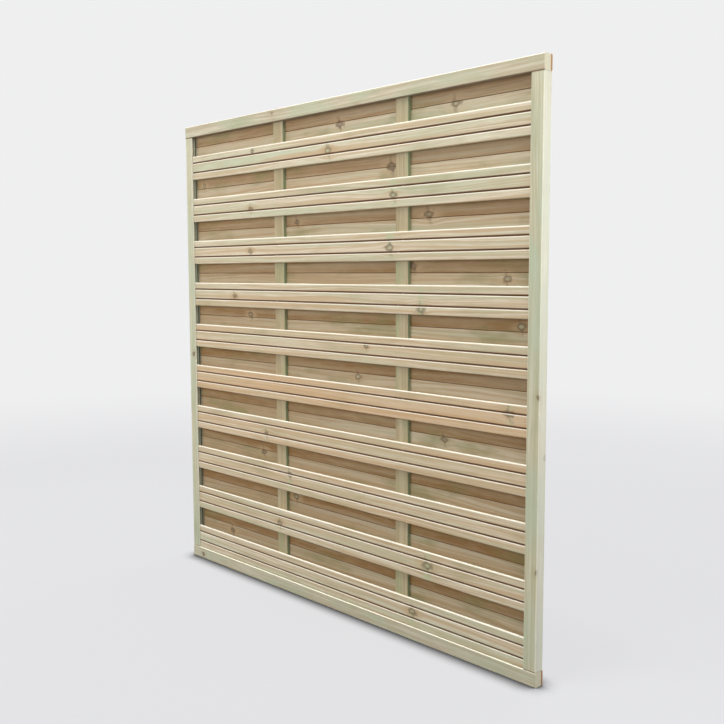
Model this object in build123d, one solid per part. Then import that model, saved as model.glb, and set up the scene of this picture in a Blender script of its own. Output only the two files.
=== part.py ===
"""Double-sided horizontal-board fence panel, built as it comes apart on the bench.

A frame of two through rails and two stiles carries ten boards on its front and ten
on its back. The boards sit in twin grooves in the stiles, either side of a central
tongue, and two flat muntins of the tongue's thickness stand between the two layers.
Front and back boards are set half a pitch apart, so each gap on one side is closed
by a board on the other.

Frame: millimetres, Z up, -Y is the front, origin under the middle of the bottom rail.
"""

import os

from build123d import *

# Panel as fitted between two posts.
PANEL_WIDTH = 1800.0
PANEL_HEIGHT = 1800.0

# Planed frame timber: rails and stiles share one section.
FRAME_FACE = 45.0
FRAME_DEPTH = 36.0
FRAME_ARRIS_RADIUS = 3.5

# Profiled board: two grooves in the show face, one relief groove in the other face.
BOARDS_PER_SIDE = 10
BOARD_OVERLAP = 8.5
BOARD_THICKNESS = 8.0
BOARD_EDGE_RADIUS = 2.5
SHOW_GROOVE_INSET = 27.5
SHOW_GROOVE_FLOOR = 2.4
SHOW_GROOVE_MOUTH = 7.0
SHOW_GROOVE_DEPTH = 3.0
RELIEF_GROOVE_FLOOR = 1.4
RELIEF_GROOVE_MOUTH = 3.4
RELIEF_GROOVE_DEPTH = 1.3

# Flat muntins between the two board layers; the stile's tongue has their thickness.
MUNTIN_WIDTH = 55.0
MUNTIN_THICKNESS = 11.0
LEFT_MUNTIN_SHARE = 603.0 / 1800.0
RIGHT_MUNTIN_SHARE = 1242.0 / 1800.0

# Housing of the boards in the stiles and of the top back board in the top rail.
HOUSING_DEPTH = 10.0
BOARD_END_CLEARANCE = 1.0
BOARD_FACE_CLEARANCE = 0.5
BOARD_TOP_CLEARANCE = 1.0

# Countersunk corner screws, one through each rail end into the stile.
SCREW_DIAMETER = 6.0
SCREW_HEAD_DIAMETER = 11.6
SCREW_HEAD_HEIGHT = 3.2
SCREW_LENGTH = 100.0
SCREW_TIP = 8.0
SCREW_TIP_DIAMETER = 1.0
SCREW_BORE_CLEARANCE = 0.3
SCREW_TIP_CLEARANCE = 1.0

# Sizes that follow from the ones above.
INNER_WIDTH = PANEL_WIDTH - 2 * FRAME_FACE
INNER_HEIGHT = PANEL_HEIGHT - 2 * FRAME_FACE
PITCH = INNER_HEIGHT / BOARDS_PER_SIDE
BOARD_WIDTH = PITCH / 2 + BOARD_OVERLAP
BOARD_LENGTH = INNER_WIDTH + 2 * (HOUSING_DEPTH - BOARD_END_CLEARANCE)
SLOT_WIDTH = BOARD_THICKNESS + BOARD_FACE_CLEARANCE
SLOT_CENTRE = (MUNTIN_THICKNESS + SLOT_WIDTH) / 2
BOARD_CENTRE = (MUNTIN_THICKNESS + BOARD_THICKNESS) / 2
STILE_CENTRE = (PANEL_WIDTH - FRAME_FACE) / 2
TOP_RAIL_UNDERSIDE = PANEL_HEIGHT - FRAME_FACE
SCREW_X = (PANEL_WIDTH - FRAME_FACE + HOUSING_DEPTH) / 2


def rounded_bar(width: float, depth: float, radius: float) -> Sketch:
    """Return a bar section with its four long edges rounded."""
    return RectangleRounded(width, depth, radius)


def groove_section(mouth: float, floor: float, depth: float) -> Sketch:
    """Return a straight-sided groove cut down from the board's face at local +Y."""
    face = BOARD_THICKNESS / 2
    return make_face(
        Polyline(
            (-mouth / 2, face),
            (-floor / 2, face - depth),
            (floor / 2, face - depth),
            (mouth / 2, face),
            close=True,
        )
    )


def board_section() -> Sketch:
    """Return the board's section: width along local X, show face at local +Y."""
    groove_at = BOARD_WIDTH / 2 - SHOW_GROOVE_INSET
    show = groove_section(SHOW_GROOVE_MOUTH, SHOW_GROOVE_FLOOR, SHOW_GROOVE_DEPTH)
    relief = groove_section(RELIEF_GROOVE_MOUTH, RELIEF_GROOVE_FLOOR, RELIEF_GROOVE_DEPTH)
    section = rounded_bar(BOARD_WIDTH, BOARD_THICKNESS, BOARD_EDGE_RADIUS)
    section -= Pos(-groove_at, 0) * show
    section -= Pos(groove_at, 0) * show
    section -= Rot(0, 0, 180) * relief
    return section


def make_board(section: Sketch, centre_z: float, front: bool) -> Part:
    """Return one board, show face outwards, its middle at the given height."""
    turn = 1.0 if front else -1.0
    side = Plane(
        origin=(-BOARD_LENGTH / 2, -turn * BOARD_CENTRE, centre_z),
        x_dir=(0, 0, turn),
        z_dir=(1, 0, 0),
    )
    return extrude(side * section, BOARD_LENGTH)


def make_stile(on_left: bool) -> Part:
    """Return a stile with the twin grooves that house the board ends."""
    inward = 1.0 if on_left else -1.0
    section = rounded_bar(FRAME_FACE, FRAME_DEPTH, FRAME_ARRIS_RADIUS)
    slot = Rectangle(2 * HOUSING_DEPTH, SLOT_WIDTH)
    for y in (-SLOT_CENTRE, SLOT_CENTRE):
        section -= Pos(inward * FRAME_FACE / 2, y) * slot
    base = Plane(origin=(-inward * STILE_CENTRE, 0, FRAME_FACE))
    stile = extrude(base * section, INNER_HEIGHT)
    stile -= screw_bore(-inward * SCREW_X, top=True)
    stile -= screw_bore(-inward * SCREW_X, top=False)
    return stile


def make_rail(top: bool) -> Part:
    """Return a through rail; the top one is grooved for the highest back board."""
    middle = PANEL_HEIGHT - FRAME_FACE / 2 if top else FRAME_FACE / 2
    end = Plane(origin=(-PANEL_WIDTH / 2, 0, middle), x_dir=(0, 1, 0), z_dir=(1, 0, 0))
    rail = extrude(end * rounded_bar(FRAME_DEPTH, FRAME_FACE, FRAME_ARRIS_RADIUS), PANEL_WIDTH)
    if top:
        groove_depth = BOARD_OVERLAP + BOARD_TOP_CLEARANCE
        groove_length = BOARD_LENGTH + 2 * BOARD_END_CLEARANCE
        groove = Box(groove_length, SLOT_WIDTH, 2 * groove_depth)
        rail -= Pos(0, SLOT_CENTRE, TOP_RAIL_UNDERSIDE) * groove
    rail -= screw_bore(-SCREW_X, top)
    rail -= screw_bore(SCREW_X, top)
    return rail


def make_muntin(share: float) -> Part:
    """Return a muntin standing between the rails at a share of the panel's width."""
    section = Rectangle(MUNTIN_WIDTH, MUNTIN_THICKNESS)
    base = Plane(origin=((share - 0.5) * PANEL_WIDTH, 0, FRAME_FACE))
    return extrude(base * section, INNER_HEIGHT)


def stand_screw(shape: Part, x: float, top: bool) -> Part:
    """Move a screw drawn with its head's top at the origin into its corner."""
    if top:
        return Pos(x, 0, PANEL_HEIGHT) * shape
    return Pos(x, 0, 0) * Rot(180, 0, 0) * shape


def turned(points: list[tuple[float, float]]) -> Part:
    """Return a solid turned about Z from a radius-height outline."""
    outline = make_face(Polyline(points, close=True))
    return revolve(Plane.XZ * outline, Axis.Z)


def make_screw(x: float, top: bool) -> Part:
    """Return one countersunk screw, its head flush with the rail."""
    shank = SCREW_DIAMETER / 2
    head = SCREW_HEAD_DIAMETER / 2
    screw = turned(
        [
            (0, 0),
            (head, 0),
            (shank, -SCREW_HEAD_HEIGHT),
            (shank, SCREW_TIP - SCREW_LENGTH),
            (SCREW_TIP_DIAMETER / 2, -SCREW_LENGTH),
            (0, -SCREW_LENGTH),
        ]
    )
    return stand_screw(screw, x, top)


def screw_bore(x: float, top: bool) -> Part:
    """Return the countersunk bore that one screw passes through."""
    bore = SCREW_DIAMETER / 2 + SCREW_BORE_CLEARANCE
    head = SCREW_HEAD_DIAMETER / 2
    seat = SCREW_HEAD_HEIGHT * (head - bore) / (head - SCREW_DIAMETER / 2)
    shape = turned(
        [
            (0, 0),
            (head, 0),
            (bore, -seat),
            (bore, -SCREW_LENGTH - SCREW_TIP_CLEARANCE),
            (0, -SCREW_LENGTH - SCREW_TIP_CLEARANCE),
        ]
    )
    return stand_screw(shape, x, top)


def make_pieces() -> dict[str, Part | Compound]:
    """Return every piece of the panel by its node name."""
    pieces: dict[str, Part | Compound] = {
        "top_rail": make_rail(top=True),
        "bottom_rail": make_rail(top=False),
        "left_stile": make_stile(on_left=True),
        "right_stile": make_stile(on_left=False),
        "left_muntin": make_muntin(LEFT_MUNTIN_SHARE),
        "right_muntin": make_muntin(RIGHT_MUNTIN_SHARE),
    }
    section = board_section()
    lowest = FRAME_FACE + BOARD_WIDTH / 2
    for number in range(1, BOARDS_PER_SIDE + 1):
        front_z = lowest + (BOARDS_PER_SIDE - number) * PITCH
        pieces[f"front_board_{number:02d}"] = make_board(section, front_z, front=True)
    for number in range(1, BOARDS_PER_SIDE + 1):
        back_z = lowest + (BOARDS_PER_SIDE - number + 0.5) * PITCH
        pieces[f"back_board_{number:02d}"] = make_board(section, back_z, front=False)
    screws = [make_screw(x, top) for top in (True, False) for x in (-SCREW_X, SCREW_X)]
    pieces["corner_screws"] = Compound(children=screws)
    return pieces


def main() -> None:
    """Build every piece and write each one to its own file."""
    os.makedirs("parts", exist_ok=True)
    for name, piece in make_pieces().items():
        piece.label = name
        export_step(piece, f"parts/{name}.step")


if __name__ == "__main__":
    main()
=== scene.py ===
"""Studio scene of a double-sided, spaced-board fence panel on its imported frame.

The frame, muntins and screws keep their solids and get their finishes here. The boards are
drawn again from the same section with eased shoulders, knots and a little wander, and the
fine staples that hold them to the muntins are added in their grooves.
"""

import logging
import math
import random
from collections.abc import Sequence
from dataclasses import dataclass, field
from enum import Enum
from functools import partial
from typing import Any, ClassVar

import bmesh
import bpy
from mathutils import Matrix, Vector


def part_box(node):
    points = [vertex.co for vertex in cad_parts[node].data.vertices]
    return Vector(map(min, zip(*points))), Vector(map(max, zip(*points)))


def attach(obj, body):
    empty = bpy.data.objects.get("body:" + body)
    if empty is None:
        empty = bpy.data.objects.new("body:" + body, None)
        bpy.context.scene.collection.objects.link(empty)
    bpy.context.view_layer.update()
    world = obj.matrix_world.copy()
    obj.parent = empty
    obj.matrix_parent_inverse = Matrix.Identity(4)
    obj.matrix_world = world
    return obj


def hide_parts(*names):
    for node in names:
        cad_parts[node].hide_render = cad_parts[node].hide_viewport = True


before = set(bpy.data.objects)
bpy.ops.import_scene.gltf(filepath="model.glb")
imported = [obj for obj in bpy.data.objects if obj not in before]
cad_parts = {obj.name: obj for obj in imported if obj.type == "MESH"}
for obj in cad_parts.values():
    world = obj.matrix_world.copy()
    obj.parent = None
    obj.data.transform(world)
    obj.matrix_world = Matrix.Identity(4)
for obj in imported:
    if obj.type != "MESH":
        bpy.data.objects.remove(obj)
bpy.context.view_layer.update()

logging.basicConfig(level=logging.INFO, format="%(message)s")
LOG = logging.getLogger("fence_panel")

MM = 0.001

# Blender's names of the nodes that are used most.
MATH = "ShaderNodeMath"
RANGE = "ShaderNodeMapRange"
NOISE = "ShaderNodeTexNoise"
MIX = "ShaderNodeMix"
JOIN = "ShaderNodeCombineXYZ"
SPLIT = "ShaderNodeSeparateXYZ"
ATTRIBUTE = "ShaderNodeAttribute"

Tree = bpy.types.NodeTree
Link = bpy.types.Node | bpy.types.NodeSocket
Point = tuple[float, float, float]


class Side(Enum):
    """Face of the panel that a layer of boards closes."""

    FRONT = -1.0
    BACK = 1.0


class Grain(Enum):
    """Way the fibres run in a timber, as the order of its along, across and depth axes."""

    ALONG_RAIL = ("X", "Z", "Y")
    UPRIGHT = ("Z", "X", "Y")


def linear(hex_colour: str) -> tuple[float, float, float, float]:
    """Turn an sRGB hex colour into linear values.

    Args:
        hex_colour: Six hex digits after a hash sign.

    Returns:
        Linear red, green and blue with an alpha of one.
    """
    channels = [int(hex_colour[i:i + 2], 16) / 255 for i in (1, 3, 5)]
    red, green, blue = (c / 12.92 if c <= 0.04045 else ((c + 0.055) / 1.055) ** 2.4 for c in channels)
    return red, green, blue, 1.0


def add_node(tree: Tree, kind: str, inputs: dict[Any, Any] | None = None, **settings: Any) -> bpy.types.Node:
    """Add a node, set its properties, and fill or link its inputs.

    Args:
        tree: Shader or geometry tree that takes the node.
        kind: Blender's identifier of the node.
        inputs: Input name or number to a constant, a socket, or a node, which gives its first live output.
        settings: Properties of the node.

    Returns:
        The new node.
    """
    node = tree.nodes.new(kind)
    for name, value in settings.items():
        setattr(node, name, value)
    for key, value in (inputs or {}).items():
        if isinstance(value, bpy.types.Node):
            value = next(socket for socket in value.outputs if socket.enabled)
        if isinstance(value, bpy.types.NodeSocket):
            tree.links.new(value, node.inputs[key])
        else:
            node.inputs[key].default_value = value
    return node


def put_object(name: str, data: Any) -> bpy.types.Object:
    """Put an object with the given data in the scene and return it."""
    thing = bpy.data.objects.new(name, data)
    bpy.context.scene.collection.objects.link(thing)
    return thing


def run_tree(host: bpy.types.Object, tree: Tree, values: dict[str, Any]) -> bpy.types.Mesh:
    """Run a geometry tree on an object.

    Args:
        host: Object that the tree starts from.
        tree: Geometry tree with named inputs.
        values: Input name to its value.

    Returns:
        Plain mesh of what the tree makes, with the modifier taken off again.
    """
    modifier = host.modifiers.new(tree.name, "NODES")
    modifier.node_group = tree
    for item in tree.interface.items_tree:
        if item.name in values:
            modifier[item.identifier] = values[item.name]
    bpy.context.view_layer.update()
    graph = bpy.context.evaluated_depsgraph_get()
    mesh = bpy.data.meshes.new_from_object(host.evaluated_get(graph))
    host.modifiers.remove(modifier)
    return mesh


def line_tree(name: str, inputs: dict[str, str], length: str) -> tuple[Tree, Any, bpy.types.Node]:
    """Start a geometry tree that has a straight line along X, with its middle at the origin.

    Args:
        name: Name of the tree.
        inputs: Input name to its kind.
        length: Name of the input that holds the line's length.

    Returns:
        The tree, the sockets of its inputs and the line.
    """
    tree = bpy.data.node_groups.new(name, "GeometryNodeTree")
    for label, kind in inputs.items():
        tree.interface.new_socket(label, in_out="INPUT", socket_type=f"NodeSocket{kind}")
    tree.interface.new_socket("Shape", in_out="OUTPUT", socket_type="NodeSocketGeometry")
    given = add_node(tree, "NodeGroupInput").outputs
    half = add_node(tree, MATH, {0: given[length], 1: 0.5}, operation="MULTIPLY")
    back = add_node(tree, MATH, {0: half, 1: -1.0}, operation="MULTIPLY")
    ends = {"Start": add_node(tree, JOIN, {0: back}), "End": add_node(tree, JOIN, {0: half})}
    return tree, given, add_node(tree, "GeometryNodeCurvePrimitiveLine", ends)


def end_tree(tree: Tree, shape: Link, material: Link) -> Tree:
    """Make the tree's shape plain, give it its material, and return the finished tree."""
    plain = add_node(tree, "GeometryNodeRealizeInstances", {"Geometry": shape})
    dressed = add_node(tree, "GeometryNodeSetMaterial", {"Geometry": plain, "Material": material})
    add_node(tree, "NodeGroupOutput", {0: dressed})
    return tree


@dataclass(frozen=True)
class PineFinish:
    """Pressure-treated pine: planed softwood with a thin green-grey cast over warm rings.

    It gives the eye a pale, matt face with soft streaks along the grain, round knots, browner heartwood and bright
    rubbed edges beside dark grooves; the bright edges are partly painted highlight and the dark grooves partly painted
    shade.

    Attributes:
        name: Name of the material.
        early: Pale early wood between the rings.
        late: Warm late wood of the rings.
        treated: Green cast that the treatment leaves in patches.
        heart: Browner heartwood, towards the middle of the log.
        knot: Bark rim and dark eye of a knot.
        pale_knot: Eye of a knot that has taken up the green treatment.
        grime_and_painted_shade: Dirt and painted shade that darken grooves, butt joints and faces that look down.
        wear_and_highlight: Pale wood on rubbed arrises and on the upward lips of grooves, partly wear and partly
            painted highlight where light from above falls.
        sawn: Fresh cream of a sawn end.
        pith: Brown strip of heartwood on a sawn end.
        stain: Olive stain where water has stood.
        damp_and_slot_shade: Dark green painted shade on the tongues inside the grooves that house the board ends.
        ring_mm: Width of a ring on the face.
        fibre_mm: Width of a fibre streak, drawn coarse enough to show in the render.
        heart_share: How much heartwood the whole piece shows.
        green_share: How much of the face the treatment tints.
        stain_share: How strong the olive stains are.
        smear: How far the green of a knot spreads over the strips above and below it.
        frame_stock: Whether it is frame timber, with scattered knots and arrises read from its faces.
        butts: Heights of the butt joints at an upright's two ends, in metres, beside which shade is painted.
        housing: How far the painted shade in the board grooves reaches from the panel's middle, sideways and through,
            in metres.
        edge: Colour of an upright's narrow sides, and its share.
    """

    name: str
    early: str = "#DED6BE"
    late: str = "#B69C76"
    treated: str = "#AEB598"
    heart: str = "#A07A4E"
    knot: str = "#573B24"
    pale_knot: str = "#B3B691"
    grime_and_painted_shade: str = "#664226"
    wear_and_highlight: str = "#F6F1E0"
    sawn: str = "#CDC8B0"
    pith: str = "#9C6F45"
    stain: str = "#7C7A48"
    damp_and_slot_shade: str = "#2A3E2E"
    ring_mm: float = 9.0
    fibre_mm: float = 2.6
    heart_share: float = 0.0
    green_share: float = 0.5
    stain_share: float = 0.25
    smear: float = 0.0
    frame_stock: bool = False
    butts: tuple[float, float] | None = None
    housing: tuple[float, float] | None = None
    edge: tuple[str, float] | None = None

    def material(self, grain: Grain) -> bpy.types.Material:
        """Build the timber's material for one way of the grain.

        Args:
            grain: Way that the fibres run.

        Returns:
            The material, reading object coordinates in metres and the boards' own attributes.
        """
        mat = bpy.data.materials.new(f"{self.name}_{grain.name.lower()}")
        mat.use_nodes = True
        mat.node_tree.nodes.clear()
        PineTree(self, grain, mat.node_tree).draw()
        return mat


class PineTree:
    """Shader tree of one timber: its grain, stains, knots, edges and ends, laid over each other.

    Attributes:
        finish: Colours and shares of the timber.
        grain: Way that the fibres run.
        add: Adds a node to the tree.
        point: Object coordinates.
        axes: The point's three axes, in metres.
        along: Distance along the grain.
        across: Distance across it.
        depth: Distance through the timber.
        shift: Offset that tells one board from the next.
        coats: Colours laid over the early wood in turn, each with its share and the factors on it.
    """

    KNOT_SPACING = 115 * MM
    FRAME_KNOT_RADIUS = 8.5 * MM
    KNOT_RAG = 16 * MM
    RING_DEPTH = 16.67 * MM
    END_RING = 3.5 * MM
    SEED_SHIFT = 3.7
    # A wave texture's rings lie this far apart, in a metre, at a scale of one.
    WAVE_SPACING = 0.314

    def __init__(self, finish: PineFinish, grain: Grain, tree: Tree) -> None:
        """Read the place of each point and the board's own seed.

        Args:
            finish: Colours and shares of the timber.
            grain: Way that the fibres run.
            tree: Empty tree of the material.
        """
        self.finish, self.grain = finish, grain
        self.add = partial(add_node, tree)
        self.point = self.add("ShaderNodeTexCoord").outputs["Object"]
        self.axes = self.add(SPLIT, {0: self.point}).outputs
        self.along, self.across, self.depth = (self.axes[name] for name in grain.value)
        seed = self.add(ATTRIBUTE, attribute_name="board_seed").outputs["Fac"]
        self.shift = self.add(MATH, {0: seed, 1: self.SEED_SHIFT}, operation="MULTIPLY")
        self.coats: list[tuple[Any, ...]] = []

    def draw(self) -> None:
        """Draw the whole timber and join it to the material's output."""
        add = self.add
        knot = self._knot_field()
        lane = self._lane(knot)
        rings, fibres = self._rings(lane)
        self._knots(rings, self._wood(lane, rings, fibres), knot)
        if self.finish.frame_stock:
            self._arrises_and_painted_light()
            self._butt_joint_shade()
            self._edges_and_painted_slot_shade()
        else:
            self._grooves()
        self._ends()
        colour = linear(self.finish.early)
        for coat, share, *factors in self.coats:
            for factor in factors:
                share = add(MATH, {0: share, 1: factor}, operation="MULTIPLY")
            over = linear(coat) if isinstance(coat, str) else coat
            colour = add(MIX, {0: share, 6: colour, 7: over}, data_type="RGBA")
        height = add(MATH, {0: fibres, 1: 0.55, 2: rings}, operation="MULTIPLY_ADD")
        bump = add("ShaderNodeBump", {"Strength": 0.16, "Distance": 0.6 * MM, "Height": height})
        look = {"Base Color": colour, "Normal": bump, "IOR": 1.5, "Specular IOR Level": 0.32}
        look["Roughness"] = add(RANGE, {0: fibres, 3: 0.56, 4: 0.72})
        add("ShaderNodeOutputMaterial", {0: add("ShaderNodeBsdfPrincipled", look)})

    def _streaks(
        self, length_mm: float, lane: Link, width_mm: float, third: Any, detail: float, roughness: float = 0.5
    ) -> Link:
        """Return a noise drawn out along the grain.

        Args:
            length_mm: Length of its cells along the grain.
            lane: Distance across the grain.
            width_mm: Width of its cells across it.
            third: Third value of its place.
            detail: Detail of the noise.
            roughness: Roughness of the noise.

        Returns:
            Node of the noise.
        """
        steps = 1 / (length_mm * MM)
        slow = self.add(MATH, {0: self.along, 1: steps, 2: self.shift}, operation="MULTIPLY_ADD")
        wide = self.add(MATH, {0: lane, 1: 1 / (width_mm * MM)}, operation="MULTIPLY")
        spot = self.add(JOIN, {0: slow, 1: wide, 2: third})
        return self.add(NOISE, {"Vector": spot, "Scale": 1.0, "Detail": detail, "Roughness": roughness})

    def _knot_field(self) -> dict[str, Link]:
        """Measure how far each point is from its knot, in knot radii.

        Returns:
            The ragged and the smooth distance, whether there is a knot and, on boards, the way across the grain in
            metres, the ragged distance along it, and the distances beside and up its spike.
        """
        add = self.add
        ragged = add(NOISE, {"Vector": self.point, "Scale": 1 / self.KNOT_RAG, "Detail": 0.8})
        uneven = add(RANGE, {0: ragged, 1: 0.25, 2: 0.75, 3: 0.7, 4: 1.4})
        if self.finish.frame_stock:
            cells = add("ShaderNodeTexVoronoi", {"Vector": self.point, "Scale": 1 / self.KNOT_SPACING})
            radii = self.KNOT_SPACING / self.FRAME_KNOT_RADIUS
            near = add(MATH, {0: cells.outputs["Distance"], 1: radii}, operation="MULTIPLY")
            some = add(MATH, {0: near, 1: 6.0}, operation="LESS_THAN")
            rough = add(MATH, {0: near, 1: uneven}, operation="MULTIPLY")
            return {"distance": rough, "smooth": near, "present": some}
        held = add(ATTRIBUTE, attribute_name="knot").outputs["Vector"]
        run, rise, radius = add(SPLIT, {0: held}).outputs
        size = add(MATH, {0: radius, 1: 0.5 * MM}, operation="MAXIMUM")
        some = add(MATH, {0: radius, 1: 0.6 * MM}, operation="GREATER_THAN")
        drawn = add(MATH, {0: run, 1: 0.6}, operation="MULTIPLY")
        flat = add(JOIN, {0: drawn, 1: rise})
        reach = add("ShaderNodeVectorMath", {0: flat}, operation="LENGTH").outputs["Value"]
        near = add(MATH, {0: reach, 1: size}, operation="DIVIDE")
        wobble = add(RANGE, {0: ragged, 3: -1.3, 4: 1.3})
        sway = add(MATH, {0: wobble, 1: size}, operation="MULTIPLY")
        lean = add(MATH, {0: rise, 1: 0.25, 2: run}, operation="MULTIPLY_ADD")
        beside = add(MATH, {0: lean, 1: sway}, operation="ADD")
        radii = []
        for way in (run, beside, rise):
            steps = add(MATH, {0: way, 1: size}, operation="DIVIDE")
            radii.append(add(MATH, {0: steps}, operation="ABSOLUTE"))
        return {
            "distance": add(MATH, {0: near, 1: uneven}, operation="MULTIPLY"),
            "smooth": near,
            "present": some,
            "across": rise,
            "span": add(MATH, {0: radii[0], 1: uneven}, operation="MULTIPLY"),
            "aside": radii[1],
            "rise": radii[2],
        }

    def _halo(self, distance: Link, present: Link, inner: float, outer: float) -> Link:
        """Return a mask round a knot.

        Args:
            distance: Distance from the knot.
            present: Mask that the halo is kept to.
            inner: Distance within which the halo is whole.
            outer: Distance at which it has faded.

        Returns:
            Node of the mask.
        """
        levels = {0: distance, 1: inner, 2: outer, 3: 1.0, 4: 0.0}
        fade = self.add(RANGE, levels, interpolation_type="SMOOTHSTEP")
        return self.add(MATH, {0: fade, 1: present}, operation="MULTIPLY")

    def _lane(self, knot: dict[str, Link]) -> Link:
        """Bend the way across the grain, so that rings wander and flow round the knots.

        Args:
            knot: Knot field.

        Returns:
            Node of the bent distance across the grain, in metres.
        """
        drift = self._streaks(769.2, self.across, 142.86, self.depth, 1.0)
        lane = self.add(MATH, {0: drift, 1: 55 * MM, 2: self.across}, operation="MULTIPLY_ADD")
        if "across" not in knot:
            return lane
        pull = self._halo(knot["smooth"], knot["present"], 0.4, 4.5)
        around = self.add(MATH, {0: knot["across"], 1: pull}, operation="MULTIPLY")
        return self.add(MATH, {0: around, 1: -0.7, 2: lane}, operation="MULTIPLY_ADD")

    def _rings(self, lane: Link) -> tuple[Link, Link]:
        """Draw the growth rings and the finer fibre streaks.

        Args:
            lane: Bent distance across the grain.

        Returns:
            Nodes of the rings and of the fibres, both from nought to one.
        """
        add = self.add
        steps = 1 / self.RING_DEPTH
        inward = add(MATH, {0: self.depth, 1: steps, 2: self.shift}, operation="MULTIPLY_ADD")
        band = self._streaks(1250.0, lane, self.finish.ring_mm, inward, 2.0, 0.6)
        rings = add(RANGE, {0: band, 1: 0.40, 2: 0.60}, interpolation_type="SMOOTHSTEP")
        fine = self._streaks(111.1, lane, self.finish.fibre_mm, inward, 3.0)
        return rings, add(RANGE, {0: fine, 1: 0.28, 2: 0.72})

    def _wood(self, lane: Link, rings: Link, fibres: Link) -> Link:
        """Lay rings, fibres, the green cast, heartwood, water stains and weathered clouds over each other.

        Args:
            lane: Bent distance across the grain.
            rings: Growth rings.
            fibres: Fibre streaks.

        Returns:
            Node of the pattern of water stains.
        """
        add, finish = self.add, self.finish
        lay = self.coats.append
        strength = 0.85 if finish.frame_stock else 1.0
        lay((finish.late, rings, 0.72 * strength))
        streak = add(RANGE, {0: fibres, 3: 0.60 * strength, 4: 0.0})
        lay((finish.late, streak))
        length_mm, width_mm = (222.2, 62.5) if finish.frame_stock else (909.1, 29.41)
        patch = self._streaks(length_mm, lane, width_mm, self.depth, 2.0)
        levels = {0: patch, 1: 0.62 - 0.4 * finish.green_share, 2: 0.80 - 0.2 * finish.green_share, 4: 0.6}
        cast = add(RANGE, levels, interpolation_type="SMOOTHSTEP")
        # Brownness of the board: its own tone and, on the back boards, painted shadow and painted light.
        warmth_and_painted_shade = add(ATTRIBUTE, attribute_name="warmth_and_painted_shade").outputs["Fac"]
        cool = add(RANGE, {0: warmth_and_painted_shade, 1: 0.0, 2: 0.8, 3: 1.15, 4: 0.5})
        lay((finish.treated, cast, cool))
        warm = add(RANGE, {0: patch, 1: 0.72, 2: 0.32, 3: 0.62, 4: 1.0})
        heart = add(MATH, {0: warmth_and_painted_shade, 1: 0.6, 2: finish.heart_share}, operation="MULTIPLY_ADD")
        lay((finish.heart, heart, warm))
        damp_and_slot_shade = self._streaks(222.2, lane, 71.43, 7.3, 3.0)
        levels = {0: damp_and_slot_shade, 1: 0.52, 2: 0.74, 3: 0.0, 4: finish.stain_share}
        stain = add(RANGE, levels, interpolation_type="SMOOTHSTEP")
        lay((finish.stain, stain))
        cloud = self._streaks(90.91, lane, 16.67, 2.1, 4.0, 0.6)
        dull = add(RANGE, {0: cloud, 1: 0.45, 2: 0.75, 3: 0.0, 4: 0.4})
        lay((finish.late, dull))
        return damp_and_slot_shade

    def _knots(self, rings: Link, damp_and_slot_shade: Link, knot: dict[str, Link]) -> None:
        """Lay in the knots: the flame of grain round each, its green smear, its spike, its eye and its rim.

        Args:
            rings: Growth rings.
            damp_and_slot_shade: Pattern of the water stains, which breaks up the smear.
            knot: Knot field.
        """
        add, finish, present = self.add, self.finish, knot["present"]
        lay = self.coats.append
        curl = add(RANGE, {0: rings, 3: 0.15, 4: 0.8})
        flame = self._halo(knot["smooth"], present, 0.8, 4.0)
        lay((finish.late, flame, curl))
        took = add(ATTRIBUTE, attribute_name="knot_green").outputs["Fac"]
        if "span" in knot and finish.smear:
            beside = self._halo(knot["span"], took, 0.2, 2.6)
            broken = add(RANGE, {0: damp_and_slot_shade, 1: 0.38, 2: 0.6, 4: finish.smear})
            lay((finish.pale_knot, beside, broken))
        if "aside" in knot:
            thin = self._halo(knot["aside"], present, 0.15, 1.0)
            spike = self._halo(knot["rise"], thin, 1.6, 3.8)
            lay((finish.knot, spike, 0.32))
        tones = {6: linear(finish.knot), 7: linear(finish.pale_knot)}
        eye = add(MIX, {0: took, **tones}, data_type="RGBA")
        disc = self._halo(knot["distance"], present, 0.3, 1.3)
        lay((eye, disc, 0.6))
        outer = self._halo(knot["distance"], present, 0.85, 1.6)
        inner = self._halo(knot["distance"], present, 0.25, 0.85)
        rim = add(MATH, {0: outer, 1: inner}, operation="SUBTRACT", use_clamp=True)
        lay((finish.knot, rim, 0.6))

    def _grooves(self) -> None:
        """Darken a board's grooves with dirt and painted shade, and pale its rubbed lips with wear and painted
        highlight.
        """
        for coat, name in ((self.finish.grime_and_painted_shade, "groove"), (self.finish.wear_and_highlight, "wear_and_highlight")):
            self.coats.append((coat, self.add(ATTRIBUTE, attribute_name=name).outputs["Fac"]))

    def _facing(self) -> Any:
        """Return the sockets of the three axes that a face points along."""
        normal = self.add("ShaderNodeNewGeometry").outputs["Normal"]
        return self.add(SPLIT, {0: normal}).outputs

    def _arrises_and_painted_light(self) -> None:
        """Pale the rubbed arrises of frame timber, most on those that look up as painted highlight, and paint shade on
        the faces that look down.
        """
        add, facing = self.add, self._facing()
        x, y, z = (add(MATH, {0: way}, operation="ABSOLUTE") for way in facing)
        most = add(MATH, {0: x, 1: y}, operation="MAXIMUM")
        most = add(MATH, {0: most, 1: z}, operation="MAXIMUM")
        levels = {0: most, 1: 0.985, 2: 0.90, 3: 0.0, 4: 0.9}
        wear_and_highlight = add(RANGE, levels, interpolation_type="SMOOTHSTEP")
        # Painted highlight: the pale of the arrises is kept to those that look up.
        level = add(RANGE, {0: facing[2], 1: -0.35, 2: 0.5})
        self.coats.append((self.finish.wear_and_highlight, wear_and_highlight, level))
        # Painted shade on the faces that look down.
        painted_underside_shade = add(RANGE, {0: facing[2], 1: -0.15, 2: -0.7, 3: 0.0, 4: 0.65})
        self.coats.append((self.finish.grime_and_painted_shade, painted_underside_shade))

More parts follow.
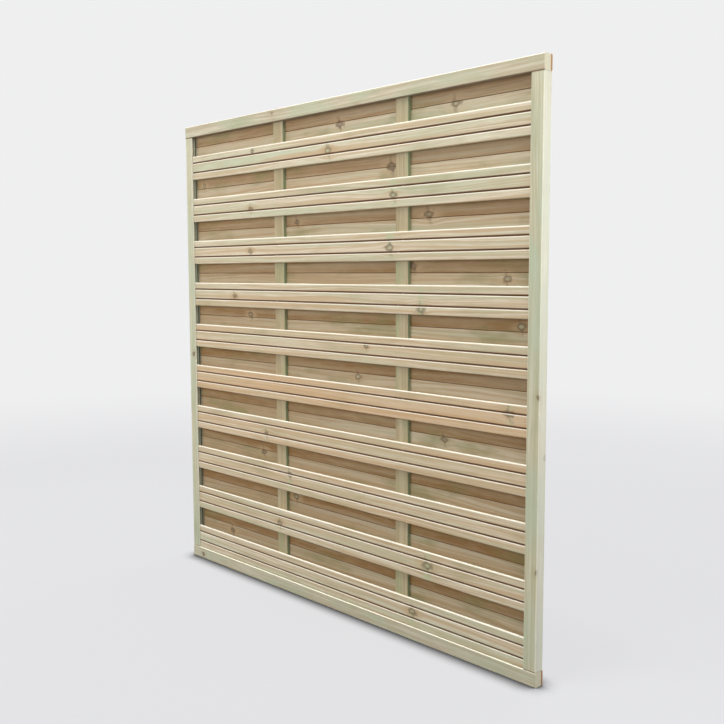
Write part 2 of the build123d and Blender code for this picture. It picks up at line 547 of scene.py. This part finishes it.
    def _butt_joint_shade(self) -> None:
        """Paint shade on an upright beside its butt joints."""
        if self.finish.butts is None:
            return
        low, high = self.finish.butts
        end = (high - low) / 2
        rise = self.add(MATH, {0: self.along, 1: -(low + high) / 2}, operation="ADD")
        reach = self.add(MATH, {0: rise}, operation="ABSOLUTE")
        levels = {0: reach, 1: end - 4 * MM, 2: end - 1 * MM, 3: 0.0, 4: 0.8}
        shade = self.add(RANGE, levels, interpolation_type="SMOOTHSTEP")
        self.coats.append((self.finish.grime_and_painted_shade, shade))

    def _edges_and_painted_slot_shade(self) -> None:
        """Tint the narrow sides of an upright, and paint shade on the tongues inside the grooves that house the board
        ends.
        """
        add, finish = self.add, self.finish
        if finish.edge is not None:
            turned = add(MATH, {0: self._facing()[0]}, operation="ABSOLUTE")
            share = add(RANGE, {0: turned, 1: 0.7, 2: 0.9, 4: finish.edge[1]})
            self.coats.append((finish.edge[0], share))
        if finish.housing is None:
            return
        masks = []
        for axis, reach in zip(self.axes, finish.housing):
            away = add(MATH, {0: axis}, operation="ABSOLUTE")
            masks.append(add(RANGE, {0: away, 1: reach, 2: reach - MM}))
        # Painted shade on the tongue inside the board groove.
        self.coats.append((finish.damp_and_slot_shade, *masks, 0.85))

    def _ends(self) -> None:
        """Give faces square to the grain the look of sawn end grain."""
        add, finish = self.add, self.finish
        square = add(MATH, {0: self._facing()[self.grain.value[0]]}, operation="ABSOLUTE")
        ends = add(RANGE, {0: square, 1: 0.75, 2: 0.95})
        spot = add(JOIN, {0: self.across, 1: self.depth})
        pattern = {"Vector": spot, "Scale": self.WAVE_SPACING / self.END_RING, "Distortion": 2.0, "Detail": 2.0}
        arcs = add("ShaderNodeTexWave", pattern, wave_type="RINGS").outputs["Fac"]
        faint = add(MATH, {0: arcs, 1: 0.35}, operation="MULTIPLY")
        tones = {6: linear(finish.sawn), 7: linear(finish.late)}
        sawn = add(MIX, {0: faint, **tones}, data_type="RGBA")
        core = add(RANGE, {0: self.depth, 1: 9 * MM, 2: 12 * MM, 3: 0.0, 4: 0.95})
        sawn = add(MIX, {0: core, 6: sawn, 7: linear(finish.pith)}, data_type="RGBA")
        self.coats.append((sawn, ends))


@dataclass(frozen=True)
class ZincFinish:
    """Passivated zinc on steel, which gives the eye a dull silver with a faint warm cloud."""

    name: str = "passivated_zinc"
    bright: str = "#C9C4B4"
    dull: str = "#9B9583"
    cloud_mm: float = 3.0
    roughness: float = 0.42

    def material(self) -> bpy.types.Material:
        """Build the metal's material and return it."""
        mat = bpy.data.materials.new(self.name)
        mat.use_nodes = True
        tree = mat.node_tree
        tree.nodes.clear()
        add = partial(add_node, tree)
        place = add("ShaderNodeTexCoord")
        pattern = {"Vector": place.outputs["Object"], "Scale": 1 / (self.cloud_mm * MM), "Detail": 3.0}
        cloud = add(NOISE, pattern)
        tones = {0: cloud, 6: linear(self.bright), 7: linear(self.dull)}
        tone = add(MIX, tones, data_type="RGBA")
        look = {"Base Color": tone, "Metallic": 1.0, "Roughness": self.roughness}
        add("ShaderNodeOutputMaterial", {0: add("ShaderNodeBsdfPrincipled", look)})
        return mat


@dataclass(frozen=True)
class Knot:
    """A knot on a board: its board from the top, its place from the board's middle, and its radius, in mm.

    The last value says how far the green treatment has paled its core, from nought to one.
    """

    board: int
    along: float
    up: float
    radius: float = 8.0
    green: float = 0.6


FRONT_KNOTS = (
    Knot(1, -8, -8, 10, 0.9), Knot(1, -445, 30, 6, 0.4), Knot(2, 309, -8, 9, 0.8), Knot(2, -462, -14, 7, 0.3),
    Knot(3, 295, -4, 10, 0.95), Knot(3, -467, -2, 7, 0.6), Knot(4, 434, -28, 9, 0.9), Knot(4, -575, -3, 7, 0.4),
    Knot(6, 790, 18, 10, 0.8), Knot(7, -381, -15, 8, 0.3), Knot(8, -242, 20, 8, 0.95), Knot(9, -302, -8, 8, 0.6),
    Knot(9, 466, 2, 11, 0.9), Knot(5, 180, 10, 6, 0.4), Knot(10, 399, 4, 9, 0.8),
)
BACK_KNOTS = (
    Knot(1, 30, -7, 10, 0.3), Knot(1, 557, -6, 10, 0.7), Knot(2, 285, 2, 12, 0.2), Knot(2, -803, 11, 7, 0.9),
    Knot(3, 451, 11, 11, 0.4), Knot(3, -204, 13, 8, 0.3), Knot(4, 761, -19, 9, 0.7), Knot(4, 382, 22, 10, 0.2),
    Knot(5, 815, 15, 9, 0.9), Knot(5, -496, 12, 9, 0.4), Knot(8, -420, -7, 9, 0.3), Knot(9, -225, 20, 9, 0.7),
    Knot(10, -640, -22, 9, 0.2), Knot(6, 120, -12, 8, 0.9), Knot(7, 520, -10, 8, 0.4),
)


@dataclass
class BoardSection:
    """Section of a profiled board, in metres, with its middle at the origin.

    Attributes:
        width: Height of the board as it hangs.
        thickness: Thickness of the board.
        edge_radius: Round of the four long edges.
        groove_at: Distance of each show groove from the middle.
        groove_mouth: Width of a show groove at the face, shoulders included.
        groove_floor: Width of its floor.
        groove_depth: Depth of a show groove.
        relief_mouth: Width of the relief groove in the inner face.
        relief_floor: Width of its floor.
        relief_depth: Depth of the relief groove.
        lip: Width over which a rubbed lip fades into the face.
        steps: Steps in each rounded corner.
    """

    # Dirt and painted shade of the relief groove, and of a show groove above and below its middle; the most goes on the
    # upper shoulder, which looks down, as painted shade.
    RELIEF_GRIME_AND_SHADE: ClassVar[float] = 0.85
    UPPER_GRIME_AND_SHADE: ClassVar[float] = 0.9
    LOWER_GRIME_AND_SHADE: ClassVar[float] = 0.3
    # Share of a groove's depth that still counts as its lip, and how pale the lip is with wear and painted highlight.
    LIP_DEPTH: ClassVar[float] = 0.15
    LIP_WEAR_AND_HIGHLIGHT: ClassVar[float] = 0.8

    width: float
    thickness: float
    edge_radius: float = 2.5 * MM
    groove_at: float = 19.5 * MM
    groove_mouth: float = 7.0 * MM
    groove_floor: float = 2.4 * MM
    groove_depth: float = 3.0 * MM
    relief_mouth: float = 3.4 * MM
    relief_floor: float = 1.4 * MM
    relief_depth: float = 1.3 * MM
    lip: float = 2.0 * MM
    steps: int = 5

    def outline(self) -> list[tuple[float, float]]:
        """Return the closed outline as (up, out) pairs, with the show face at positive out."""
        cut = (self.groove_mouth, self.groove_floor, self.groove_depth)
        relief = (self.relief_mouth, self.relief_floor, self.relief_depth)
        show = self._face((-self.groove_at, self.groove_at), cut)
        inner = self._face((0.0,), relief)
        return show + [(-up, -out) for up, out in inner]

    def _face(self, grooves: Sequence[float], cut: Point) -> list[tuple[float, float]]:
        """Trace one face from its low edge to its high edge.

        Args:
            grooves: Middles of the face's grooves, from low to high.
            cut: Mouth, floor and depth of the grooves.

        Returns:
            Points of the face as (up, out) pairs.
        """
        half, out = self.width / 2, self.thickness / 2
        points = self._turn(-half + self.edge_radius, out - self.edge_radius, self.edge_radius, 180, 90)
        points.append((-half + self.edge_radius + 1.2 * self.lip, out))
        for middle in grooves:
            mouth, floor, depth = cut[0] / 2, cut[1] / 2, cut[2]
            ease = mouth - floor
            points.append((middle - mouth - self.lip, out))
            points += self._turn(middle - mouth, out - ease, ease, 90, 0)
            points += [(middle - floor, out - depth), (middle + floor, out - depth)]
            points += self._turn(middle + mouth, out - ease, ease, 180, 90)
            points.append((middle + mouth + self.lip, out))
        points.append((half - self.edge_radius - 1.2 * self.lip, out))
        return points + self._turn(half - self.edge_radius, out - self.edge_radius, self.edge_radius, 90, 0)

    def _turn(self, up: float, out: float, radius: float, start: float, end: float) -> list[tuple[float, float]]:
        """Return the points of a rounded corner about a centre, between two angles in degrees."""
        angles = [math.radians(start + (end - start) * i / self.steps) for i in range(self.steps + 1)]
        return [(up + radius * math.cos(a), out + radius * math.sin(a)) for a in angles]

    def groove_grime_and_shade(self, up: float, out: float) -> float:
        """Return how dark a point of the outline is with dirt and painted shade: most on groove floors, fading out on
        the face above them.
        """
        reach = self.groove_mouth / 2 + 1.5 * self.lip
        if out < 0 and abs(up) < self.relief_mouth / 2 and out > -self.thickness / 2 + 0.1 * MM:
            return self.RELIEF_GRIME_AND_SHADE
        if out < 0 or abs(abs(up) - self.groove_at) > reach:
            return 0.0
        deep = min(1.0, max(0.0, (self.thickness / 2 - out) / self.groove_depth))
        if up > math.copysign(self.groove_at, up):
            near = abs(up) - self.groove_at if up > 0 else self.groove_at - abs(up)
            return 0.0 if near > (self.groove_mouth + self.lip) / 2 else min(1.0, self.UPPER_GRIME_AND_SHADE + deep)
        return min(1.0, self.LOWER_GRIME_AND_SHADE + deep) if deep > self.LIP_DEPTH else 0.0

    def wear_and_highlight_share(self, up: float, out: float) -> float:
        """Return how pale a point of the outline is with wear and painted highlight: most on the top arris, less on the
        upward lips below grooves.
        """
        if out < 0:
            return 0.0
        if up > self.width / 2 - self.edge_radius - self.lip / 2:
            return 1.0
        deep = (self.thickness / 2 - out) / self.groove_depth
        for middle in (-self.groove_at, self.groove_at):
            below = middle - up
            if self.groove_floor / 2 < below < (self.groove_mouth + self.lip) / 2 and deep < self.LIP_DEPTH:
                return self.LIP_WEAR_AND_HIGHLIGHT
        return 0.0


@dataclass
class BoardLayer:
    """One layer of boards, front or back, drawn in place of its solids.

    Attributes:
        side: Face of the panel that the layer closes.
        finish: Material of the boards.
        knots: Knots of the layer.
        warmth_and_painted_shade: How brown each board is, from the top; on the back boards partly painted shade, deeper
            towards the foot.
        wander: How far a board strays up and down along its length.
        stations: Sections along a board.
        pieces: Finished boards, from the top.
    """

    # Brownness lost on the show face; painted shadow of the board before it, as brownness gained on the upper half of
    # the inner face; and painted light, as brownness lost on its lower half, more towards the right.
    SHOW_PALING: ClassVar[float] = 0.5
    UPPER_PAINTED_SHADOW: ClassVar[float] = 0.7
    LOWER_PAINTED_LIGHT: ClassVar[float] = 0.45
    PAINTED_LIGHT_REACH: ClassVar[float] = 350 * MM
    # Shares of the dirt and painted shade in the grooves, and of the wear and painted highlight on the edges.
    GRIME_AND_SHADE: ClassVar[float] = 0.95
    WEAR_AND_HIGHLIGHT: ClassVar[float] = 0.9
    # First seed of the back boards, past those of the front.
    BACK_SEED: ClassVar[float] = 40.0

    side: Side
    finish: bpy.types.Material
    knots: Sequence[Knot]
    warmth_and_painted_shade: Sequence[float]
    wander: float = 0.5 * MM
    stations: int = 33
    pieces: list[bpy.types.Object] = field(default_factory=list)

    def node_name(self, number: int) -> str:
        """Return the name of the solid that a board stands for."""
        return f"{self.side.name.lower()}_board_{number:02d}"

    def section(self) -> BoardSection:
        """Return the board's section, sized from the layer's first solid."""
        low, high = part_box(self.node_name(1))
        return BoardSection(width=high[2] - low[2], thickness=high[1] - low[1])

    @staticmethod
    def tree() -> Tree:
        """Build the tree that runs a section along a slightly wandering line.

        Returns:
            Geometry tree with named inputs for the board's sizes.
        """
        inputs = {
            "Section": "Geometry", "Length": "Float", "Stations": "Int", "Wander": "Float", "Seed": "Float",
            "Timber": "Material",
        }
        tree, given, line = line_tree("Profiled board", inputs, "Length")
        add = partial(add_node, tree)
        path = add("GeometryNodeResampleCurve", {"Curve": line, "Count": given["Stations"]})
        noise = add(NOISE, {"W": given["Seed"], "Scale": 2.2, "Detail": 1.0}, noise_dimensions="4D")
        level = add(MATH, {0: noise, 1: -0.5}, operation="ADD")
        stray = add(MATH, {0: level, 1: given["Wander"]}, operation="MULTIPLY")
        offset = add(JOIN, {2: stray})
        bent = add("GeometryNodeSetPosition", {"Geometry": path, "Offset": offset})
        upright = add("GeometryNodeSetCurveNormal", {"Curve": bent}, mode="Z_UP")
        ring = add("GeometryNodeMeshToCurve", {"Mesh": given["Section"]})
        body = add("GeometryNodeCurveToMesh", {"Curve": upright, "Profile Curve": ring, "Fill Caps": True})
        return end_tree(tree, body, given["Timber"])

    def build(self, tree: Tree, count: int) -> None:
        """Make every board of the layer and let it stand for its solid.

        Args:
            tree: The board tree.
            count: Boards in the layer.
        """
        section = self.section()
        for number in range(1, count + 1):
            low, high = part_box(self.node_name(number))
            centre = [(a + b) / 2 for a, b in zip(low, high)]
            seed = number + (self.BACK_SEED if self.side is Side.BACK else 0.0)
            mesh = self._run(tree, section, high[0] - low[0], seed)
            self._stand(mesh, centre)
            self._mark(mesh, section, centre, number, seed)
            piece = put_object(f"{self.node_name(number)}_timber", mesh)
            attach(piece, "root")
            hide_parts(self.node_name(number))
            self.pieces.append(piece)
            LOG.info("%s: %d faces", piece.name, len(mesh.polygons))

    def _run(self, tree: Tree, section: BoardSection, length: float, seed: float) -> bpy.types.Mesh:
        """Run the section along one board with the tree.

        Args:
            tree: The board tree.
            section: Section of the board.
            length: Length of the board.
            seed: Seed of the board's wander.

        Returns:
            Plain mesh of the board about the origin.
        """
        points = section.outline()
        ring = bpy.data.meshes.new("board_section")
        count = len(points)
        ring.from_pydata([(out, up, 0.0) for up, out in points], [(i, (i + 1) % count) for i in range(count)], [])
        host = put_object("board_host", ring)
        values = {
            "Length": length, "Stations": self.stations, "Wander": 2 * self.wander, "Seed": seed, "Timber": self.finish,
        }
        mesh = run_tree(host, tree, values)
        bpy.data.objects.remove(host, do_unlink=True)
        bpy.data.meshes.remove(ring)
        return mesh

    def _stand(self, mesh: bpy.types.Mesh, centre: Sequence[float]) -> None:
        """Turn the show face outwards, move the board to its place and point its faces outwards."""
        turn = -self.side.value
        work = bmesh.new()
        work.from_mesh(mesh)
        bmesh.ops.remove_doubles(work, verts=work.verts, dist=1e-6)
        for vert in work.verts:
            x, y, z = vert.co
            vert.co = (x + centre[0], turn * y + centre[1], z + centre[2])
        bmesh.ops.recalc_face_normals(work, faces=work.faces)
        work.to_mesh(mesh)
        work.free()

    def _painted_gap_shadow_and_light(self, x: float, up: float, out: float) -> float:
        """Return how much browner a point of a back board is where the board before it casts painted shadow on its
        inner face's upper half, or paler: on its show face, and as painted light on the lower half of its inner face,
        more towards the right.
        """
        if self.side is Side.FRONT:
            return 0.0
        if out > 0:
            return -self.SHOW_PALING
        right = min(1.0, max(0.0, x / (2 * self.PAINTED_LIGHT_REACH) + 0.5))
        return self.UPPER_PAINTED_SHADOW if up > 0 else -self.LOWER_PAINTED_LIGHT * right

    def _mark(
        self, mesh: bpy.types.Mesh, section: BoardSection, centre: Sequence[float], number: int, seed: float
    ) -> None:
        """Write the board's seed, its brownness with painted shade, the dirt and painted shade of its grooves, its
        rubbed edges with painted highlight and its nearest knots to its mesh.

        Args:
            mesh: Mesh of the board.
            section: Section of the board.
            centre: Middle of the board.
            number: Number of the board from the top.
            seed: Seed of the board.
        """
        offsets = random.Random(seed).random()
        names = ("board_seed", "warmth_and_painted_shade", "groove", "wear_and_highlight")
        for name in names:
            mesh.attributes.new(name, "FLOAT", "POINT")
        mesh.attributes.new("knot", "FLOAT_VECTOR", "CORNER")
        mesh.attributes.new("knot_green", "FLOAT", "CORNER")
        tone, warm, groove, wear_and_highlight = (mesh.attributes[name] for name in names)
        knots, greens = mesh.attributes["knot"], mesh.attributes["knot_green"]
        for index, vert in enumerate(mesh.vertices):
            up, out = vert.co.z - centre[2], (vert.co.y - centre[1]) * self.side.value
            tone.data[index].value = seed + offsets
            # On the back boards, painted shadow and painted light join the board's own brownness.
            warm.data[index].value = self.warmth_and_painted_shade[number - 1] + self._painted_gap_shadow_and_light(vert.co.x, up, out)
            groove.data[index].value = self.GRIME_AND_SHADE * section.groove_grime_and_shade(up, out)
            wear_and_highlight.data[index].value = self.WEAR_AND_HIGHLIGHT * section.wear_and_highlight_share(up, out)
        own = [k for k in self.knots if k.board == number]
        for face in mesh.polygons:
            near = min(own, key=lambda k: abs(face.center.x - k.along * MM), default=None)
            for loop in face.loop_indices:
                at = mesh.vertices[mesh.loops[loop].vertex_index].co
                if near is None:
                    knots.data[loop].vector = (1.0, 1.0, 0.0)
                    continue
                up = at.z - centre[2] - near.up * MM
                knots.data[loop].vector = (at.x - near.along * MM, up, near.radius * MM)
                greens.data[loop].value = near.green


@dataclass
class GrooveStaples:
    """Fine wire staples that hold the boards to the muntins, set along the floors of the grooves.

    Attributes:
        finish: Material of the wire.
        crown: Length of a staple's crown.
        wire: Diameter of the wire.
        spread: Distance of the two staples at a crossing from the muntin's middle.
        lean: Largest slant of a crown, in degrees.
        seed: Seed of the slants.
    """

    finish: bpy.types.Material
    crown: float = 9.0 * MM
    wire: float = 1.2 * MM
    spread: float = 11.0 * MM
    lean: float = 3.0
    seed: int = 7

    def places(self, layers: Sequence[BoardLayer], muntins: Sequence[str]) -> list[Point]:
        """Return the middle of every crown.

        Args:
            layers: The board layers.
            muntins: Names of the muntins' solids.

        Returns:
            Points on the groove floors where boards cross muntins.
        """
        points = []
        for layer in layers:
            section = layer.section()
            for number in range(1, len(layer.pieces) + 1):
                low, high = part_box(layer.node_name(number))
                face = low[1] if layer.side is Side.FRONT else high[1]
                floor = face - layer.side.value * (section.groove_depth - 0.25 * self.wire)
                for muntin in muntins:
                    left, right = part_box(muntin)
                    for way in (-1, 1):
                        x = (left[0] + right[0]) / 2 + way * self.spread
                        points.append((x, floor, (low[2] + high[2]) / 2 + way * section.groove_at))
        return points

    def build(self, layers: Sequence[BoardLayer], muntins: Sequence[str]) -> bpy.types.Object:
        """Instance a crown on every place and return the finished piece."""
        cloud = bpy.data.meshes.new("groove_staples")
        cloud.from_pydata(self.places(layers, muntins), [], [])
        piece = put_object("groove_staples", cloud)
        values = {
            "Crown": self.crown, "Wire": self.wire, "Lean": math.radians(self.lean), "Seed": self.seed,
            "Metal": self.finish,
        }
        piece.data = mesh = run_tree(piece, self._tree(), values)
        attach(piece, "root")
        LOG.info("%s: %d faces", piece.name, len(mesh.polygons))
        return piece

    @staticmethod
    def _tree() -> Tree:
        """Build the tree that lays a short round wire on every point."""
        inputs = {
            "Places": "Geometry", "Crown": "Float", "Wire": "Float", "Lean": "Float", "Seed": "Int",
            "Metal": "Material",
        }
        tree, given, crown = line_tree("Groove staples", inputs, "Crown")
        add = partial(add_node, tree)
        radius = add(MATH, {0: given["Wire"], 1: 0.5}, operation="MULTIPLY")
        round_wire = add("GeometryNodeCurvePrimitiveCircle", {"Resolution": 8, "Radius": radius})
        wire = add("GeometryNodeCurveToMesh", {"Curve": crown, "Profile Curve": round_wire, "Fill Caps": True})
        low = add(MATH, {0: given["Lean"], 1: -1.0}, operation="MULTIPLY")
        slant = add("FunctionNodeRandomValue", {2: low, 3: given["Lean"], "Seed": given["Seed"]}, data_type="FLOAT")
        turn = add(JOIN, {1: slant})
        laid = add("GeometryNodeInstanceOnPoints", {"Points": given["Places"], "Instance": wire, "Rotation": turn})
        return end_tree(tree, laid, given["Metal"])


@dataclass
class PanelFrame:
    """Rails, stiles, muntins and corner screws, which keep their solids and get their finishes."""

    rail: bpy.types.Material
    upright: bpy.types.Material
    muntin: bpy.types.Material
    screw: bpy.types.Material

    def dress(self) -> None:
        """Assign each solid its finish."""
        finishes = {
            "top_rail": self.rail, "bottom_rail": self.rail, "left_stile": self.upright, "right_stile": self.upright,
            "left_muntin": self.muntin, "right_muntin": self.muntin, "corner_screws": self.screw,
        }
        for name, finish in finishes.items():
            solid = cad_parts[name]
            solid.data.materials.clear()
            solid.data.materials.append(finish)
            LOG.info("%s: %s", name, finish.name)


@dataclass
class Studio:
    """Plain pale floor, soft lamps and the camera at the photograph's view.

    Attributes:
        camera_at: Camera's place in metres.
        camera_turn: Camera's turn in degrees.
        lens: Focal length for a sensor of 36 mm.
        shift: Camera shift that the photograph's framing needs.
        paper: Colour of the backdrop.
        floor: Colour of the floor near the panel, as it is seen.
        ground: Colour of the floor as it takes light and shadow.
        fill: Strength of the world's light on the panel.
        key: Strength of the high distant lamp in front, which draws the shadow under each board.
        softbox: Power of the near lamp above the front, which lights the top more than the foot.
        front: Power of the wide lamp before the panel, which keeps its foot from going dull.
        side: Power of the wide lamp to the right, which lights the panel's end and the muntins' edges.
        left: Power of the wide lamp to the left, which lights the end away from the camera.
        rear: Power of the wide lamp behind, which lights the back as plainly as the front.
    """

    camera_at: Point = (2.4700, -2.1550, 1.2034)
    camera_turn: Point = (84.415, 0.128, 46.661)
    lens: float = 46.423
    shift: tuple[float, float] = (-0.0110, 0.0031)
    paper: str = "#EFEFF0"
    floor: str = "#F1F1F3"
    ground: str = "#98989A"
    fill: float = 0.42
    key: float = 1.1
    softbox: float = 18.0
    front: float = 58.0
    side: float = 27.0
    left: float = 17.0
    rear: float = 46.0

    def build(self) -> None:
        """Make the backdrop, the lamps and the camera."""
        self._world()
        self._floor()
        self._lamps()
        self._camera()
        bpy.context.scene.view_settings.view_transform = "Standard"

    @staticmethod
    def _shown(tree: Tree) -> bpy.types.Node:
        """Return a mask of the rays that see the backdrop: straight, mirrored or let through."""
        rays = add_node(tree, "ShaderNodeLightPath").outputs
        seen = rays["Is Camera Ray"]
        for name in ("Is Glossy Ray", "Is Transmission Ray"):
            seen = add_node(tree, MATH, {0: seen, 1: rays[name]}, operation="MAXIMUM")
        return seen

    def _world(self) -> None:
        """Light the panel evenly and show the camera a pale backdrop."""
        world = bpy.data.worlds.new("studio")
        bpy.context.scene.world = world
        world.use_nodes = True
        tree = world.node_tree
        tree.nodes.clear()
        add = partial(add_node, tree)
        seen = self._shown(tree)
        light = add("ShaderNodeBackground", {"Color": (0.97, 1.0, 1.0, 1.0), "Strength": self.fill})
        paper = add("ShaderNodeBackground", {"Color": linear(self.paper), "Strength": 1.0})
        both = add("ShaderNodeMixShader", {0: seen, 1: light, 2: paper})
        add("ShaderNodeOutputWorld", {0: both})

    def _floor(self) -> None:
        """Lay a wide floor that keeps the panel's shadow and fades into the backdrop."""
        mesh = bpy.data.meshes.new("studio_floor")
        reach = 60.0
        corners = [(-reach, -reach, 0.0), (reach, -reach, 0.0), (reach, reach, 0.0), (-reach, reach, 0.0)]
        mesh.from_pydata(corners, [], [(0, 1, 2, 3)])
        mat = bpy.data.materials.new("studio_floor")
        mat.use_nodes = True
        tree = mat.node_tree
        tree.nodes.clear()
        add = partial(add_node, tree)
        place = add("ShaderNodeTexCoord")
        away = add("ShaderNodeVectorMath", {0: place.outputs["Object"]}, operation="LENGTH")
        fade = add(RANGE, {0: away.outputs["Value"], 1: 1.2, 2: 7.0}, interpolation_type="SMOOTHSTEP")
        shown = self._shown(tree)
        seen = add(MATH, {0: shown, 1: fade}, operation="MULTIPLY")
        # Painted contact shadow: the seen glow of the floor darkens with ambient occlusion beside the panel.
        near = add("ShaderNodeAmbientOcclusion", {"Distance": 0.07}, samples=16)
        clear = add(RANGE, {0: near.outputs["AO"], 1: 0.55, 2: 0.96, 3: 0.05, 4: 1.0})
        matt = add("ShaderNodeBsdfDiffuse", {"Color": linear(self.ground)})
        glow = add("ShaderNodeEmission", {"Color": linear(self.floor), "Strength": clear})
        paper = add("ShaderNodeEmission", {"Color": linear(self.paper), "Strength": 1.0})
        lit = add(MATH, {0: shown, 1: 0.75}, operation="MULTIPLY")
        close = add("ShaderNodeMixShader", {0: lit, 1: matt, 2: glow})
        both = add("ShaderNodeMixShader", {0: seen, 1: close, 2: paper})
        add("ShaderNodeOutputMaterial", {0: both})
        mesh.materials.append(mat)
        floor = put_object("studio_floor", mesh)

    def _lamps(self) -> None:
        """Hang the high key lamp, the softbox and the lamps on the panel's four sides."""
        self._sun("key_lamp", self.key, 9.0, (-0.06, -0.25, 0.97))
        self._area("softbox", self.softbox, 0.8, (0.6, -0.85, 3.2), (0.1, 0.0, 1.2))
        self._area("front_lamp", self.front, 2.0, (-1.3, -2.9, 2.1), (-0.1, 0.0, 0.6))
        self._area("rear_lamp", self.rear, 2.0, (-0.5, 2.6, 3.0), (0.0, 0.0, 0.9))
        self._area("side_lamp", self.side, 1.2, (2.4, -0.12, 1.7), (0.9, 0.0, 1.0))
        self._area("left_lamp", self.left, 1.2, (-2.4, 0.12, 1.7), (-0.9, 0.0, 1.0))

    @staticmethod
    def _area(name: str, power: float, size: float, at: Point, aim: Point) -> None:
        """Hang a square lamp of some power and size at a place, facing a point on the panel."""
        light = bpy.data.lights.new(name, "AREA")
        light.energy = power
        light.size = size
        lamp = put_object(name, light)
        lamp.location = at
        lamp.rotation_euler = (Vector(aim) - Vector(at)).to_track_quat("-Z", "Y").to_euler()
        lamp.visible_camera = False

    @staticmethod
    def _sun(name: str, strength: float, spread: float, towards: Point) -> None:
        """Hang a distant lamp of some strength and spread, in the direction given from the panel."""
        light = bpy.data.lights.new(name, "SUN")
        light.energy = strength
        light.angle = math.radians(spread)
        lamp = put_object(name, light)
        x, y, z = towards
        lamp.rotation_euler = (math.atan2(math.hypot(x, y), z), 0.0, math.atan2(y, x) + math.pi / 2)

    def _camera(self) -> None:
        """Stand the camera at the photograph's view."""
        lens = bpy.data.cameras.new("photo_view")
        lens.sensor_width = 36.0
        lens.lens = self.lens
        lens.shift_x, lens.shift_y = self.shift
        lens.clip_end = 200.0
        camera = put_object("photo_view", lens)
        camera.location = self.camera_at
        camera.rotation_euler = [math.radians(a) for a in self.camera_turn]
        bpy.context.scene.camera = camera


BOARDS_PER_SIDE = 10
MUNTINS = ("left_muntin", "right_muntin")
FRONT_WARMTH = (0.0, 0.10, 0.20, 0.25, 0.45, 1.10, 0.60, 0.45, 0.25, 0.05)
# Back boards browner towards the foot: partly their own tone, partly painted shade that deepens downwards.
BACK_WARMTH_AND_PAINTED_SHADE = (0.55, 0.50, 0.70, 0.75, 0.75, 0.80, 0.80, 0.90, 0.95, 0.90)


def main() -> None:
    """Build the boards and staples, dress the frame and set up the studio."""
    # Planed show boards: cream to the eye, with a green cast in patches and green smears beside the knots.
    front = PineFinish(
        "treated_pine_front_board", early="#DDD5C0", treated="#B4BC9E", heart="#C99F72", green_share=0.55, smear=0.9,
    )
    # The same boards in the shade of the front ones: browner as painted shade, with olive water stains.
    back = PineFinish("treated_pine_back_board", heart="#8C693C", heart_share=0.15, green_share=0.35, stain_share=0.6)
    # Planed frame timber: greyer and calmer than the boards, with pale rubbed arrises, brightest on top as painted
    # highlight, and painted shade on faces that look down.
    rail = PineFinish("treated_pine_rail", early="#CEC7B1", late="#A89779", green_share=0.6, frame_stock=True)
    # Stiles: the same stock, greener, pale on the narrow sides and with painted shade inside the board grooves.
    low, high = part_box("left_stile")
    stile = PineFinish(
        "treated_pine_stile", early="#D0CCB4", late="#AEA583", treated="#B1BCA1", green_share=0.65, frame_stock=True,
        butts=(low[2], high[2]), housing=(-high[0] + 12 * MM, 4.5 * MM), edge=("#DEDCD0", 0.5),
    )
    # Muntins: thin sawn battens, tan on the face and mossy on the narrow sides.
    batten = PineFinish(
        "treated_pine_muntin", early="#BAAE90", late="#9D8863", treated="#999F78", green_share=0.4, frame_stock=True,
        edge=("#7E8E6C", 0.85),
    )
    # Screws and staples: passivated steel, a dull silver.
    zinc = ZincFinish().material()
    layers = [
        BoardLayer(Side.FRONT, front.material(Grain.ALONG_RAIL), FRONT_KNOTS, FRONT_WARMTH),
        BoardLayer(Side.BACK, back.material(Grain.ALONG_RAIL), BACK_KNOTS, BACK_WARMTH_AND_PAINTED_SHADE),
    ]
    tree = BoardLayer.tree()
    for layer in layers:
        layer.build(tree, BOARDS_PER_SIDE)
    GrooveStaples(zinc).build(layers, MUNTINS)
    PanelFrame(
        rail=rail.material(Grain.ALONG_RAIL),
        upright=stile.material(Grain.UPRIGHT),
        muntin=batten.material(Grain.UPRIGHT),
        screw=zinc,
    ).dress()
    Studio().build()


if __name__ == "__main__":
    main()
